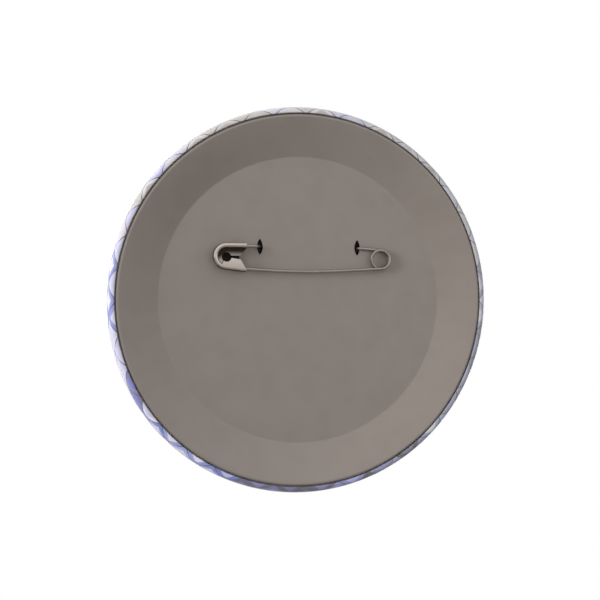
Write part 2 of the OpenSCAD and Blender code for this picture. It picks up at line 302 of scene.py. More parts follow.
@dataclass(frozen=True)
class CloudyMetal:
    """Metal whose tone, gloss and surface change together in soft clouds."""

    name: str
    colour: str
    shade: str
    rough: Point
    cloud_mm: float
    strength: float
    lift_mm: float = 0.01
    metallic: float = 1.0
    stops: Point = (NOISE_LOW, NOISE_HIGH)
    crispness: float = 0.65

    def make(self) -> bpy.types.Material:
        """Builds the material.

        Returns:
            The finished material.
        """
        material, tree = new_material(self.name)
        place = add_node(tree, "ShaderNodeTexCoord").outputs["Object"]
        cloud = add_node(
            tree, "ShaderNodeTexNoise",
            {"Vector": place, "Scale": 1 / (self.cloud_mm * MM), "Detail": 4.0,
             "Roughness": self.crispness}).outputs[0]
        rough = add_node(
            tree, "ShaderNodeMapRange",
            {"Value": cloud, "From Min": NOISE_LOW, "From Max": NOISE_HIGH,
             "To Min": self.rough[0], "To Max": self.rough[1]})
        tone = add_node(tree, "ShaderNodeValToRGB", {0: cloud})
        fill_ramp(tone, [(self.stops[0], self.shade), (self.stops[1], self.colour)])
        bump = add_node(
            tree, "ShaderNodeBump",
            {"Strength": self.strength, "Distance": self.lift_mm * MM, "Height": cloud})
        end_material(tree, {
            "Base Color": tone.outputs[0], "Metallic": self.metallic,
            "Roughness": rough.outputs[0], "Normal": bump.outputs[0]})
        return material


@dataclass(frozen=True)
class NickelPlate(CloudyMetal):
    """Bright nickel over steel, barrel plated, so it is warm, bright and a bit hazy."""

    name: str = "nickel_plated_wire"
    colour: str = "#a0968e"
    shade: str = "#938981"
    rough: Point = (0.18, 0.24)
    cloud_mm: float = 2.2
    strength: float = 0.2


@dataclass(frozen=True)
class ShadePaintedNickel(NickelPlate):
    """Nickel plated sheet, bright on its rims, with a dark brown painted shade in its hollows.

    The pressed-in panel gets the painted shade, most of all under the rim above it, and is rougher
    there too. The lower outside, which faces down, gets the same painted shade.
    """

    name: str = "nickel_plated_sheet"
    colour: str = "#c4bab2"
    shade: str = "#b8ada5"
    painted_shade_colour: str = "#30271f"
    panel_y: Point = (-0.46, -0.69)
    panel_z: Point = (6.3, 7.2)
    least: float = 0.35
    fold_rise: float = 0.7
    under_y: Point = (-0.36, -0.52)
    under_z: Point = (5.5, 4.8)
    dulling: float = 0.25

    def make(self) -> bpy.types.Material:
        """Builds the material.

        Returns:
            The finished material.
        """
        material = super().make()
        tree = material.node_tree
        shader = next(n for n in tree.nodes if n.type == "BSDF_PRINCIPLED")
        tone = shader.inputs["Base Color"].links[0].from_socket
        rough = shader.inputs["Roughness"].links[0].from_socket
        place = add_node(tree, "ShaderNodeTexCoord").outputs["Object"]
        axes = add_node(tree, "ShaderNodeSeparateXYZ", {0: place}).outputs
        made: dict[str, Target] = {"x": axes[0], "y": axes[1], "z": axes[2], "rough": rough}
        # The painted shade is as dark at the closed end as under the rim
        add_sums(tree, "ShaderNodeMath", made, [
            ("beyond", "SUBTRACT", "x", CLASP_X * MM), ("folded", "MAXIMUM", "beyond", 0.0),
            ("climb", "MULTIPLY_ADD", "folded", self.fold_rise, "z")])
        # Masks for the painted shade: the pressed panel, strongest under the rim, and the
        # down-facing lower outside
        for name, value, (start, end), least in (
                ("pressed", "y", self.panel_y, 0.0), ("high", "climb", self.panel_z, self.least),
                ("outer", "y", self.under_y, 0.0), ("low", "z", self.under_z, 0.0)):
            made[name] = add_node(
                tree, "ShaderNodeMapRange",
                {"Value": made[value], "From Min": start * MM, "From Max": end * MM,
                 "To Min": least}, interpolation_type="SMOOTHSTEP").outputs[0]
        add_sums(tree, "ShaderNodeMath", made, [
            ("panel", "MULTIPLY", "pressed", "high"), ("under", "MULTIPLY", "outer", "low"),
            ("shade_amount", "MAXIMUM", "panel", "under"),
            ("dulled", "MULTIPLY_ADD", "shade_amount", self.dulling, "rough")])
        # Mixes the dark painted shade colour into the plating's tone
        painted_shade = add_node(
            tree, "ShaderNodeMix",
            {0: made["shade_amount"], 6: tone, 7: linear(self.painted_shade_colour)}, data_type="RGBA")
        tree.links.new(painted_shade.outputs[2], shader.inputs["Base Color"])
        tree.links.new(made["dulled"], shader.inputs["Roughness"])
        return material


@dataclass(frozen=True)
class InsideShadeSteel(CloudyMetal):
    """Near-black brown steel for the clasp's inside faces, a painted shade of the fold's hollow.

    The eye sees a blotchy, nearly black brown with a faint soft sheen.
    """

    name: str = "painted_shade_steel"
    colour: str = "#2c231c"
    shade: str = "#17110d"
    rough: Point = (0.55, 0.55)
    cloud_mm: float = 0.8
    strength: float = 0.3
    metallic: float = 0.7
    stops: Point = (0.35, 0.7)
    crispness: float = 0.5


@dataclass(frozen=True)
class OffsetPrint:
    """Offset print on coated paper, with film pressed over it, so colours are deep and glossy.

    The motif is a rosette of pointed petals in rings, pale at the top and indigo at the foot, with
    a painted shade that makes it greyer and darker towards -X.
    """

    paper_r: float
    roughness: float = 0.5
    specular: float = 0.25
    coat: float = 0.8
    coat_roughness: float = 0.12
    coat_ior: float = 1.5
    rings_mm: tuple[float, ...] = (6.5, 14.0, 22.0)
    petals: tuple[int, ...] = (8, 16, 24, 36)
    heights_mm: tuple[float, ...] = (6.5, 7.5, 4.0, 3.7)
    curl: float = -0.13
    line_mm: float = 0.12
    ring_line_mm: float = 0.28
    heart: float = 0.2
    heart_shift: float = -0.11
    fall: float = -0.5
    lean: float = -0.08
    fall_share: float = 0.66
    draw_share: float = 0.38
    saturation: float = 0.94
    shade_grey: float = -0.6
    shade_dim: float = -0.45
    tooth_mm: float = 0.15
    tooth_value: Point = (0.93, 1.05)
    line_ink: str = "#2b2a4c"
    ring_ink: str = "#e0dbd3"
    inks: tuple[tuple[float, str], ...] = (
        (0.0, "#c4beb9"), (0.1, "#b3aca7"), (0.2, "#d6d2ce"), (0.3, "#cfccdc"),
        (0.4, "#b7b5df"), (0.5, "#dcdae6"), (0.58, "#8b94d6"), (0.66, "#4355ba"),
        (0.75, "#7c78b6"), (0.84, "#5a5594"), (0.92, "#37345f"), (1.0, "#1c1b33"))

    def motif(self) -> list[tuple]:
        """Lays out the petals, picks each one's ink and marks the lines.

        Returns:
            Rows for add_sums.
        """
        sums: list[tuple] = [
            ("xx", "MULTIPLY", "x", "x"), ("rr", "MULTIPLY_ADD", "y", "y", "xx"),
            ("radius", "SQRT", "rr"), ("angle", "ARCTAN2", "y", "x"),
            ("turn", "DIVIDE", "angle", math.tau)]
        # Each ring has its own count and height of petals
        for i, (at, last) in enumerate(zip(self.rings_mm, (0.0, *self.rings_mm))):
            more = self.petals[i + 1] - self.petals[i]
            taller = self.heights_mm[i + 1] - self.heights_mm[i]
            sums += [
                ("past", "GREATER_THAN", "radius", at),
                ("count", "MULTIPLY_ADD", "past", more, "count"),
                ("start", "MULTIPLY_ADD", "past", at - last, "start"),
                ("height", "MULTIPLY_ADD", "past", taller, "height")]
        sums += [
            ("out", "SUBTRACT", "radius", "start"), ("rise", "DIVIDE", "out", "height"),
            ("wave", "MULTIPLY", "rise", math.tau), ("bend", "SINE", "wave"),
            ("ogee", "MULTIPLY_ADD", "bend", self.curl, "rise"),
            ("spoke", "MULTIPLY", "turn", "count"),
            ("right", "ADD", "spoke", "ogee"), ("left", "SUBTRACT", "spoke", "ogee"),
            ("right_no", "FLOOR", "right"), ("left_no", "FLOOR", "left"),
            ("right_id", "FLOORED_MODULO", "right_no", "count"),
            ("left_id", "FLOORED_MODULO", "left_no", "count"),
            ("right_in", "PINGPONG", "right", 0.5), ("left_in", "PINGPONG", "left", 0.5),
            ("inside", "MINIMUM", "right_in", "left_in"),
            ("around", "DIVIDE", "radius", "count"),
            ("width", "MULTIPLY", "around", math.tau),
            ("edge", "MULTIPLY", "inside", "width"),
            ("line", "LESS_THAN", "edge", self.line_mm),
            ("fall", "MULTIPLY_ADD", "y", self.fall / self.paper_r, 0.5),
            ("lean", "MULTIPLY_ADD", "x", self.lean / self.paper_r, "fall"),
            ("base", "MULTIPLY", "lean", self.fall_share),
            ("tone", "MULTIPLY_ADD", "draw", self.draw_share, "base"),
            ("heart", "GREATER_THAN", "inside", self.heart),
            ("shift", "MULTIPLY_ADD", "heart", self.heart_shift, "tone"),
            # Painted shade: the side towards -X is made greyer and darker
            ("side", "MULTIPLY", "x", -1 / self.paper_r), ("grey", "MAXIMUM", "side", 0.0),
            ("strength", "MULTIPLY_ADD", "grey", self.shade_grey, self.saturation),
            ("dim", "MULTIPLY_ADD", "grey", self.shade_dim, 1.0),
            ("value", "MULTIPLY", "tooth", "dim")]
        for at in self.rings_mm:
            sums += [
                ("off", "SUBTRACT", "radius", at), ("gap", "ABSOLUTE", "off"),
                ("on", "LESS_THAN", "gap", self.ring_line_mm),
                ("rings", "MAXIMUM", "on", "rings")]
        return sums

    def make(self) -> bpy.types.Material:
        """Builds the material.

        Returns:
            The finished material.
        """
        material, tree = new_material("offset_print")
        sheet = add_node(tree, "ShaderNodeUVMap", uv_map="flat_sheet").outputs[0]
        wide = 2 * self.paper_r
        flat = add_node(
            tree, "ShaderNodeMapping",
            {"Vector": sheet, "Location": (-self.paper_r, -self.paper_r, 0),
             "Scale": (wide, wide, 1)}).outputs[0]
        axes = add_node(tree, "ShaderNodeSeparateXYZ", {0: flat}).outputs
        petal = add_node(tree, "ShaderNodeCombineXYZ")
        draw = add_node(tree, "ShaderNodeTexWhiteNoise", {"Vector": petal.outputs[0]})
        paper = add_node(tree, "ShaderNodeTexNoise", {"Vector": flat, "Scale": 1 / self.tooth_mm})
        tooth = add_node(
            tree, "ShaderNodeMapRange",
            {"Value": paper.outputs[0], "To Min": self.tooth_value[0],
             "To Max": self.tooth_value[1]})
        made: dict[str, Target] = {
            "x": axes[0], "y": axes[1], "draw": draw.outputs["Value"], "tooth": tooth.outputs[0],
            "count": self.petals[0], "start": 0.0, "height": self.heights_mm[0], "rings": 0.0}
        add_sums(tree, "ShaderNodeMath", made, self.motif())
        for i, name in enumerate(("right_id", "left_id", "count")):
            tree.links.new(made[name], petal.inputs[i])
        ramp = add_node(tree, "ShaderNodeValToRGB", {0: made["shift"]})
        fill_ramp(ramp, self.inks)
        colour = ramp.outputs[0]
        for mask, ink in (("line", self.line_ink), ("rings", self.ring_ink)):
            colour = add_node(
                tree, "ShaderNodeMix",
                {0: made[mask], 6: colour, 7: linear(ink)}, data_type="RGBA").outputs[2]
        worn = add_node(
            tree, "ShaderNodeHueSaturation",
            {"Saturation": made["strength"], "Value": made["value"], "Color": colour})
        end_material(tree, {
            "Base Color": worn.outputs[0], "Roughness": self.roughness,
            "Specular IOR Level": self.specular, "Coat Weight": self.coat,
            "Coat Roughness": self.coat_roughness, "Coat IOR": self.coat_ior})
        return material


@dataclass(frozen=True)
class ClearPolyester:
    """Clear polyester film, drawn and calendered, so it is smooth, thin and almost unseen."""

    colour: str = "#f4f5f8"
    opacity: float = 0.06
    roughness: float = 0.12
    ior: float = 1.6

    def make(self) -> bpy.types.Material:
        """Builds the material.

        Returns:
            The finished material.
        """
        material, tree = new_material("clear_polyester")
        end_material(tree, {
            "Base Color": linear(self.colour), "Roughness": self.roughness, "IOR": self.ior,
            "Alpha": self.opacity})
        return material


def arc(centre: Point, radius: float, start: float, end: float, steps: int) -> list[Point]:
    """Gives the points of an arc without its first point, so that arcs can be chained.

    Args:
        centre: The arc's centre.
        radius: The arc's radius.
        start: Angle of the first point, in degrees.
        end: Angle of the last point, in degrees.
        steps: How many points to give.

    Returns:
        The points in order.
    """
    turns = [math.radians(start + (end - start) * i / steps) for i in range(1, steps + 1)]
    return [(centre[0] + radius * math.cos(a), centre[1] + radius * math.sin(a)) for a in turns]


def settle(piece: bpy.types.Object, name: str, body: Body, slot: Slot, *nodes: str) -> None:
    """Names a finished piece, makes it ride on its body and hides the nodes that it stands for.

    Args:
        piece: The finished object.
        name: Its name.
        body: The body that it rides on.
        slot: The record's slot for the piece; not used.
        nodes: The nodes that it stands for.
    """
    piece.name = piece.data.name = name
    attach(piece, body.value)
    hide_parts(*nodes)
    log.info("%s: %d faces, rides on %s", name, len(piece.data.polygons), body.value)


@dataclass
class WrappedLayers:
    """The print and the film, which follow the domed front and fold over the rim to the back."""

    badge_r: float
    thick: float
    rim_band: float = 1.3
    side_r: float = 4.0
    shoulder_r: float = 2.4
    crest_r: float = 0.6
    lip_r: float = 0.25
    land_w: float = 0.12
    film_t: float = 0.08
    paper_t: float = 0.1
    shell_t: float = 0.25
    layer_gap: float = 0.02
    around: int = 360
    steps: tuple[int, ...] = (26, 20, 12, 12, 8)
    pleats: float = 96.0
    pleat_depth: float = 0.02
    pleat_seed: float = 3.0
    pleat_patch: float = 0.6
    pleat_wander: float = 9.0
    pleat_start: float = -0.2
    pleat_fade: Point = (-1.1, -0.1)

    def __post_init__(self) -> None:
        """Works out the outline that both layers follow."""
        self.rim_r = self.badge_r - self.rim_band
        self.crest_x = self.rim_r + self.lip_r + self.land_w
        self.side_x = self.badge_r - self.side_r
        self.side_a = math.degrees(
            math.acos((self.crest_x - self.side_x) / (self.side_r - self.crest_r)))
        self.widest = (self.crest_r
                       + (self.side_r - self.crest_r) * math.sin(math.radians(self.side_a)))
        self.shoulder_x = self.badge_r - self.shoulder_r
        rise = self.thick - self.widest
        self.dome_r = ((self.shoulder_x ** 2 + rise ** 2 - self.shoulder_r ** 2)
                       / (2 * (rise - self.shoulder_r)))
        self.dome_a = math.degrees(math.asin(self.shoulder_x / (self.dome_r - self.shoulder_r)))
        self.paper_out = self.film_t + self.layer_gap
        self.paper_in = self.paper_out + self.paper_t
        self.shell_out = self.paper_in + self.layer_gap
        self.shell_in = self.shell_out + self.shell_t

    def outline(self, depth: float) -> list[Point]:
        """Gives a layer surface's half section from the crown to the hem, in millimetres.

        Args:
            depth: How deep the surface lies below the outside of the film.

        Returns:
            Points of [radius, y].
        """
        hem = -(self.shell_in + self.shell_out - depth)
        lip_x = self.rim_r + self.lip_r
        dome, shoulder, side, crest, lip = self.steps
        return (
            [(0.0, -self.thick + depth)]
            + arc((0, self.dome_r - self.thick), self.dome_r - depth, -90, -90 + self.dome_a, dome)
            + arc((self.shoulder_x, -self.widest), self.shoulder_r - depth,
                  -90 + self.dome_a, 0, shoulder)
            + arc((self.side_x, -self.widest), self.side_r - depth, 0, self.side_a, side)
            + arc((self.crest_x, -self.crest_r), self.crest_r - depth, self.side_a, 90, crest)
            + [(lip_x, -depth)]
            + arc((lip_x, -self.lip_r), self.lip_r - depth, 90, 180, lip)
            + [(self.rim_r + depth, hem), (self.crest_x, hem)])

    def unroll(self, outline: Sequence[Point]) -> list[float]:
        """Gives how far along an outline each of its points lies, in millimetres."""
        return [0.0, *accumulate(math.dist(a, b) for a, b in zip(outline, outline[1:]))]

    def turn(self, outside: float, inside: float, name: str) -> bpy.types.Object:
        """Turns one layer about the badge's axis, with the flat sheet it was cut from as its UV.

        Args:
            outside: Depth of its outer surface.
            inside: Depth of its inner surface.
            name: The object's name.

        Returns:
            The layer, closed, with its faces outward.
        """
        outer, inner = self.outline(outside), self.outline(inside)
        travel = self.unroll(outer)
        section = inner + outer[::-1]
        turns = np.arange(self.around) * math.tau / self.around
        points, sheet, rows = [], [], []
        for (radius, y), reach in zip(section, travel + travel[::-1]):
            count = self.around if radius > 0 else 1
            rows.append((len(points), count))
            for a in turns[:count]:
                points.append((radius * math.cos(a) * MM, y * MM, radius * math.sin(a) * MM))
                sheet.append((reach * math.cos(a), reach * math.sin(a)))
        faces = []
        for (low, many), (high, more) in zip(rows, rows[1:] + rows[:1]):
            if many == 1 and more == 1:
                continue
            for i in range(self.around):
                j = (i + 1) % self.around
                a, b = (low, low) if many == 1 else (low + i, low + j)
                c, d = (high, high) if more == 1 else (high + j, high + i)
                faces.append(tuple(dict.fromkeys((a, b, c, d))))
        mesh = bpy.data.meshes.new(name)
        mesh.from_pydata(points, [], faces)
        layer = mesh.uv_layers.new(name="flat_sheet")
        corner = np.zeros(len(mesh.loops), dtype=np.int32)
        mesh.loops.foreach_get("vertex_index", corner)
        flat = np.array(sheet)[corner] / (2 * travel[-1]) + 0.5
        layer.data.foreach_set("uv", flat.astype(np.float32).ravel())
        mesh.shade_smooth()
        return add_object(name, mesh)

    def pucker(self, piece: bpy.types.Object) -> bpy.types.Object:
        """Draws the pleats that the fold leaves in a layer round the rim.

        Args:
            piece: One turned layer.

        Returns:
            A plain mesh object with the pleats in it.
        """
        tree, given = new_geometry_tree(
            "rim_pleats", {"Pleats": "Float", "Depth": "Float", "Seed": "Float"})
        place = add_node(tree, "GeometryNodeInputPosition").outputs[0]
        axes = add_node(tree, "ShaderNodeSeparateXYZ", {0: place}).outputs
        made: dict[str, Target] = {
            "place": place, "x": axes[0], "z": axes[2], "pleats": given["Pleats"],
            "depth": given["Depth"]}
        add_sums(tree, "ShaderNodeMath", made, [
            ("angle", "ARCTAN2", "z", "x"), ("phase", "MULTIPLY", "angle", "pleats"),
            ("share", "DIVIDE", "pleats", math.tau)])
        add_sums(tree, "ShaderNodeVectorMath", made, [
            ("ring", "NORMALIZE", "place"), ("spread", "MULTIPLY", "ring", "share")])
        made["drift"] = add_node(
            tree, "ShaderNodeTexNoise",
            {"Vector": made["spread"], "W": given["Seed"], "Scale": self.pleat_patch,
             "Detail": 1.0}, noise_dimensions="4D").outputs[0]
        add_sums(tree, "ShaderNodeMath", made, [
            ("wander", "MULTIPLY_ADD", "drift", self.pleat_wander, "phase"),
            ("wave", "SINE", "wander")])
        start, end = (y * MM for y in self.pleat_fade)
        for name, value, low, high in (
                ("lift", made["wave"], self.pleat_start, 1.0), ("fade", axes[1], start, end)):
            made[name] = add_node(
                tree, "ShaderNodeMapRange", {"Value": value, "From Min": low, "From Max": high},
                interpolation_type="SMOOTHSTEP").outputs[0]
        add_sums(tree, "ShaderNodeMath", made, [
            ("press", "MULTIPLY", "lift", "fade"), ("sink", "MULTIPLY", "press", "depth")])
        # Both faces of a layer sink towards one ring inside the rim, so its thickness stays
        add_sums(tree, "ShaderNodeVectorMath", made, [
            ("flat", "MULTIPLY", "place", (1, 0, 1)), ("outward", "NORMALIZE", "flat"),
            ("core", "MULTIPLY_ADD", "outward", (self.crest_x * MM,) * 3,
             (0, -self.crest_r * MM, 0)),
            ("inward", "SUBTRACT", "core", "place"), ("aim", "NORMALIZE", "inward"),
            ("offset", "MULTIPLY", "aim", "sink")])
        moved = add_node(
            tree, "GeometryNodeSetPosition",
            {"Geometry": given["Geometry"], "Offset": made["offset"]})
        end_geometry_tree(tree, moved.outputs[0], given["Material"])
        return bake_nodes(
            piece, tree,
            {"Pleats": self.pleats, "Depth": self.pleat_depth * MM, "Seed": self.pleat_seed,
             "Material": piece.active_material})

    def build(self) -> None:
        """Makes the print and the film, pleated and dressed."""
        paper = self.turn(self.paper_out, self.paper_in, "printed_disc")
        paper_r = self.unroll(self.outline(self.paper_out))[-1]
        paper.data.materials.append(OffsetPrint(paper_r).make())
        settle(self.pucker(paper), "printed_disc", Body.BADGE, Slot.PRINT, "print_disc")
        film = self.turn(0.0, self.film_t, "clear_film_wrap")
        film.data.materials.append(ClearPolyester().make())
        settle(self.pucker(film), "clear_film_wrap", Body.BADGE, Slot.FILM, "clear_film")


def bake_nodes(
    piece: bpy.types.Object, tree: bpy.types.NodeTree, values: dict[str, Any]
) -> bpy.types.Object:
    """Runs a geometry tree on an object and keeps only its result.

    Args:
        piece: The object that the tree works on, which is removed.
        tree: The geometry tree.
        values: A value for each of the tree's inputs, by name.

    Returns:
        A new mesh object at the origin.
    """
    modifier = piece.modifiers.new(tree.name, "NODES")
    modifier.node_group = tree
    for item in tree.interface.items_tree:
        if item.name in values:
            modifier[item.identifier] = values[item.name]
    graph = bpy.context.evaluated_depsgraph_get()
    mesh = bpy.data.meshes.new_from_object(
        piece.evaluated_get(graph), preserve_all_data_layers=True, depsgraph=graph)
    bpy.data.objects.remove(piece)
    mesh.shade_smooth()
    return add_object(mesh.name, mesh)


@dataclass
class PinWire:
    """The safety pin's one wire: hinge stretch, two jogs, fixed arm, coil and bowed needle."""

    wire_d: float = 0.48
    disc_depth: float = 2.5
    plate_t: float = 0.3
    arm_gap: float = 0.03
    slot_z: float = 7.85
    clasp_slot_x: float = 6.4
    coil_slot_x: float = -8.45
    jog_angle: float = 65.0
    jog_r: float = 0.5
    dip_r: float = 1.5
    dip_lead: float = 0.15
    arm_lean: float = 8.0
    coil_r: float = 1.39
    coil_x: float = -11.85
    coil_z: float = 6.08
    coil_gap: float = 0.16
    turn_gap: float = 0.03
    coil_turn: float = 630.0
    coil_steps: int = 110
    needle_seat: float = 0.2
    root_angle: float = 3.2
    tip_angle: float = 3.4
    root_len: float = 6.1
    bow_r: float = 100.0
    shaft_len: float = 2.5
    point_len: float = 3.6
    point_d: float = 0.08
    point_taper: float = 1.25
    point_steps: int = 8
    ball_turn: float = 88.0
    ball_steps: int = 7
    socket_gap: float = 0.12
    socket_r: float = 0.246
    socket_steps: int = 6
    bend_step: float = 5.0
    sides: int = 28

    def __post_init__(self) -> None:
        """Works out where the wire crosses the plate, meets the coil and leaves it."""
        self.wire_r = self.wire_d / 2
        self.hinge_y = -(self.disc_depth + self.plate_t + self.arm_gap + self.wire_r)
        self.coil_y = self.coil_gap + self.wire_r - self.disc_depth
        # Each jog passes the middle of its slot
        jog = math.radians(self.jog_angle)
        rise = (self.wire_r + self.arm_gap + self.plate_t / 2
                - self.jog_r * (1 - math.cos(jog)))
        across = self.jog_r * math.sin(jog) + rise / math.tan(jog)
        self.coil_jog_x = self.coil_slot_x + across
        self.clasp_jog_x = self.clasp_slot_x - across
        # The arm leans through its slot, then dips onto the coil's circle
        lean = math.radians(self.arm_lean)
        self.lean_rise = (self.coil_y - self.hinge_y) / math.cos(lean)
        aside = self.coil_jog_x - self.jog_run(self.lean_rise) - self.dip_lead - self.coil_x
        above = self.slot_z - self.lean_rise * math.sin(lean) - self.coil_z
        self.coil_start = math.degrees(
            math.atan2(above, aside) + math.acos(self.coil_r / math.hypot(aside, above)))
        self.coil_end = self.coil_turn - self.root_angle
        pitch = self.wire_d + self.turn_gap
        needle_y = self.coil_y + pitch * (self.coil_end - self.coil_start) / 360
        self.root = self.on_coil(self.coil_end, needle_y)
        self.clasp_y = needle_y + self.needle_seat

    def on_coil(self, angle: float, y: float) -> Vector:
        """Gives the coil's middle line at an angle round from +X, in degrees, and a Y."""
        turned = math.radians(angle)
        return Vector((self.coil_x + self.coil_r * math.cos(turned), y,
                       self.coil_z + self.coil_r * math.sin(turned)))

    def run(
        self, start: Vector, frame: Matrix, steps: Sequence[tuple[float, float, float, float]]
    ) -> list[Vector]:
        """Walks a wire of straight stretches and bends.

        Args:
            start: Where the wire starts.
            frame: Its heading: X along the wire, Y the way a positive bend turns.
            steps: Straight length, bend angle in degrees, bend radius and roll of each step.

        Returns:
            Points along the wire's middle line.
        """
        here, heading, points = start.copy(), frame.copy(), [start.copy()]
        for straight, angle, radius, roll in steps:
            heading = heading @ Matrix.Rotation(math.radians(roll), 3, "X")
            if straight > 0:
                here = here + heading @ Vector((straight, 0, 0))
                points.append(here)
            if not angle:
                continue
            turn, side = math.radians(abs(angle)), math.copysign(1, angle)
            count = max(math.ceil(abs(angle) / self.bend_step), math.ceil(turn * radius))
            for i in range(1, count + 1):
                a = turn * i / count
                step = Vector((radius * math.sin(a), side * radius * (1 - math.cos(a)), 0))
                points.append(here + heading @ step)
            here = points[-1]
            heading = heading @ Matrix.Rotation(math.radians(angle), 3, "Z")
        return points

    def jog_straight(self, rise: float) -> float:
        """Gives the straight length between a jog's two bends for this rise."""
        angle = math.radians(self.jog_angle)
        return (rise - 2 * self.jog_r * (1 - math.cos(angle))) / math.sin(angle)

    def jog_run(self, rise: float) -> float:
        """Gives how far a jog goes along the plate for this rise."""
        angle = math.radians(self.jog_angle)
        return 2 * self.jog_r * math.sin(angle) + self.jog_straight(rise) * math.cos(angle)

    def arm_path(self) -> list[Vector]:
        """Lays the wire from the clasp, behind the plate, to the end of the coil.

        Returns:
            Points along its middle line, in millimetres.
        """
        to_clasp = self.clasp_y - self.hinge_y
        start = Vector((self.coil_jog_x, self.hinge_y, self.slot_z))
        front = self.run(start, Matrix.Identity(3), [
            (self.clasp_jog_x - self.coil_jog_x, self.jog_angle, self.jog_r, 0),
            (self.jog_straight(to_clasp), -self.jog_angle, self.jog_r, 0),
            (CLASP_X - self.clasp_jog_x - self.jog_run(to_clasp), 0, 0, 0)])
        dip_angle = self.coil_start - 90
        dip_half = self.dip_r * math.tan(math.radians(dip_angle) / 2)
        back = self.run(start, Matrix.Rotation(math.pi, 3, "Z"), [
            (0, -self.jog_angle, self.jog_r, self.arm_lean),
            (self.jog_straight(self.lean_rise), self.jog_angle, self.jog_r, 0),
            (self.dip_lead - dip_half, -dip_angle, self.dip_r, 90 - self.arm_lean)])
        # The coil stops short of the needle's root, which its socket takes
        last = self.coil_end - math.degrees(self.socket_gap / self.coil_r)
        climb = (self.root.y - self.coil_y) / (self.coil_end - self.coil_start)
        step = (last - self.coil_start) / self.coil_steps
        coil = [self.on_coil(self.coil_start + step * i, self.coil_y + climb * step * i)
                for i in range(self.coil_steps + 1)]
        return front[::-1] + back[1:] + coil

    def needle_path(self) -> tuple[list[Vector], list[float]]:
        """Lays the needle from the ball at its root to its tip.

        Returns:
            Points along its middle line and the wire's radius at each, in millimetres.
        """
        wire_r = self.wire_r
        frame = Matrix.Rotation(math.radians(self.root_angle), 3, "Y") @ Matrix.Rotation(
            math.radians(90), 3, "X")
        points = self.run(self.root, frame, [
            (self.root_len, self.root_angle + self.tip_angle, self.bow_r, 0),
            (self.shaft_len, 0, 0, 0)])
        ahead = (points[-1] - points[-2]).normalized()
        behind = (points[0] - points[1]).normalized()
        turns = [math.radians(self.ball_turn * (1 - i / self.ball_steps))
                 for i in range(self.ball_steps)]
        shares = [(i + 1) / self.point_steps for i in range(self.point_steps)]
        ball = [self.root + behind * wire_r * math.sin(a) for a in turns]
        tip = [points[-1] + ahead * self.point_len * s for s in shares]
        taper = [wire_r + (self.point_d / 2 - wire_r) * s ** self.point_taper for s in shares]
        radii = [wire_r * math.cos(a) for a in turns] + [wire_r] * len(points) + taper
        return ball + points + tip, radii

    def sweep(
        self, name: str, points: Sequence[Vector], radii: Sequence[float],
        finish: bpy.types.Material,
    ) -> bpy.types.Object:
        """Sweeps a round wire along a path with geometry nodes.

        Args:
            name: The object's name.
            points: The middle line, in millimetres.
            radii: The wire's radius at each point, in millimetres.
            finish: The wire's material.

        Returns:
            A closed mesh object.
        """
        curve = bpy.data.curves.new(name, "CURVE")
        curve.dimensions = "3D"
        spline = curve.splines.new("POLY")
        spline.points.add(len(points) - 1)
        for knot, place, radius in zip(spline.points, points, radii):
            knot.co = (*(place * MM), 1.0)
            knot.radius = radius / self.wire_r
        tree, given = new_geometry_tree("drawn_wire", {"Wire radius": "Float", "Sides": "Int"})
        ring = add_node(
            tree, "GeometryNodeCurvePrimitiveCircle",
            {"Resolution": given["Sides"], "Radius": given["Wire radius"]})
        size = add_node(tree, "GeometryNodeInputRadius")
        tube = add_node(
            tree, "GeometryNodeCurveToMesh",
            {"Curve": given["Geometry"], "Profile Curve": ring.outputs[0],
             "Scale": size.outputs[0], "Fill Caps": True})
        end_geometry_tree(tree, tube.outputs[0], given["Material"])
        return bake_nodes(
            add_object(name, curve), tree,
            {"Wire radius": self.wire_r * MM, "Sides": self.sides, "Material": finish})

    def hollow_end(self, mesh: bpy.types.Mesh, ahead: Vector) -> None:
        """Hollows the coil's flat end into a socket for the ball on the needle's root.

        Args:
            mesh: The swept arm and coil.
            ahead: The wire's direction at that end.
        """
        shape = bmesh.new()
        shape.from_mesh(mesh)
        root = self.root * MM
        cap = min((f for f in shape.faces if len(f.verts) == self.sides),
                  key=lambda f: (f.calc_center_median() - root).length)
        rim, middle = list(cap.verts), cap.calc_center_median()
        rays = [(v.co - middle).normalized() for v in rim]
        shape.faces.remove(cap)
        for i in range(self.socket_steps):
            back = self.socket_gap + (self.socket_r - self.socket_gap) * i / self.socket_steps
            wide = math.sqrt(self.socket_r ** 2 - back ** 2)
            deep = middle - ahead * (back - self.socket_gap) * MM
            ring = [shape.verts.new(deep + ray * wide * MM) for ray in rays]
            for j in range(self.sides):
                k = (j + 1) % self.sides
                shape.faces.new((rim[j], rim[k], ring[k], ring[j])).smooth = True
            rim = ring
        shape.faces.new(rim).smooth = True
        bmesh.ops.recalc_face_normals(shape, faces=shape.faces)
        shape.to_mesh(mesh)
        shape.free()

    def build(self) -> None:
        """Makes the arm with its coil, and the needle."""
        finish = NickelPlate().make()
        arm = self.arm_path()
        wire = self.sweep("arm_and_coil", arm, [self.wire_r] * len(arm), finish)
        self.hollow_end(wire.data, (arm[-1] - arm[-2]).normalized())
        settle(wire, "arm_and_coil", Body.PIN, Slot.WIRE, "fixed_arm", "spring_coil")
        needle = self.sweep("bowed_needle", *self.needle_path(), finish)
        settle(needle, "bowed_needle", Body.NEEDLE, Slot.WIRE, "needle")


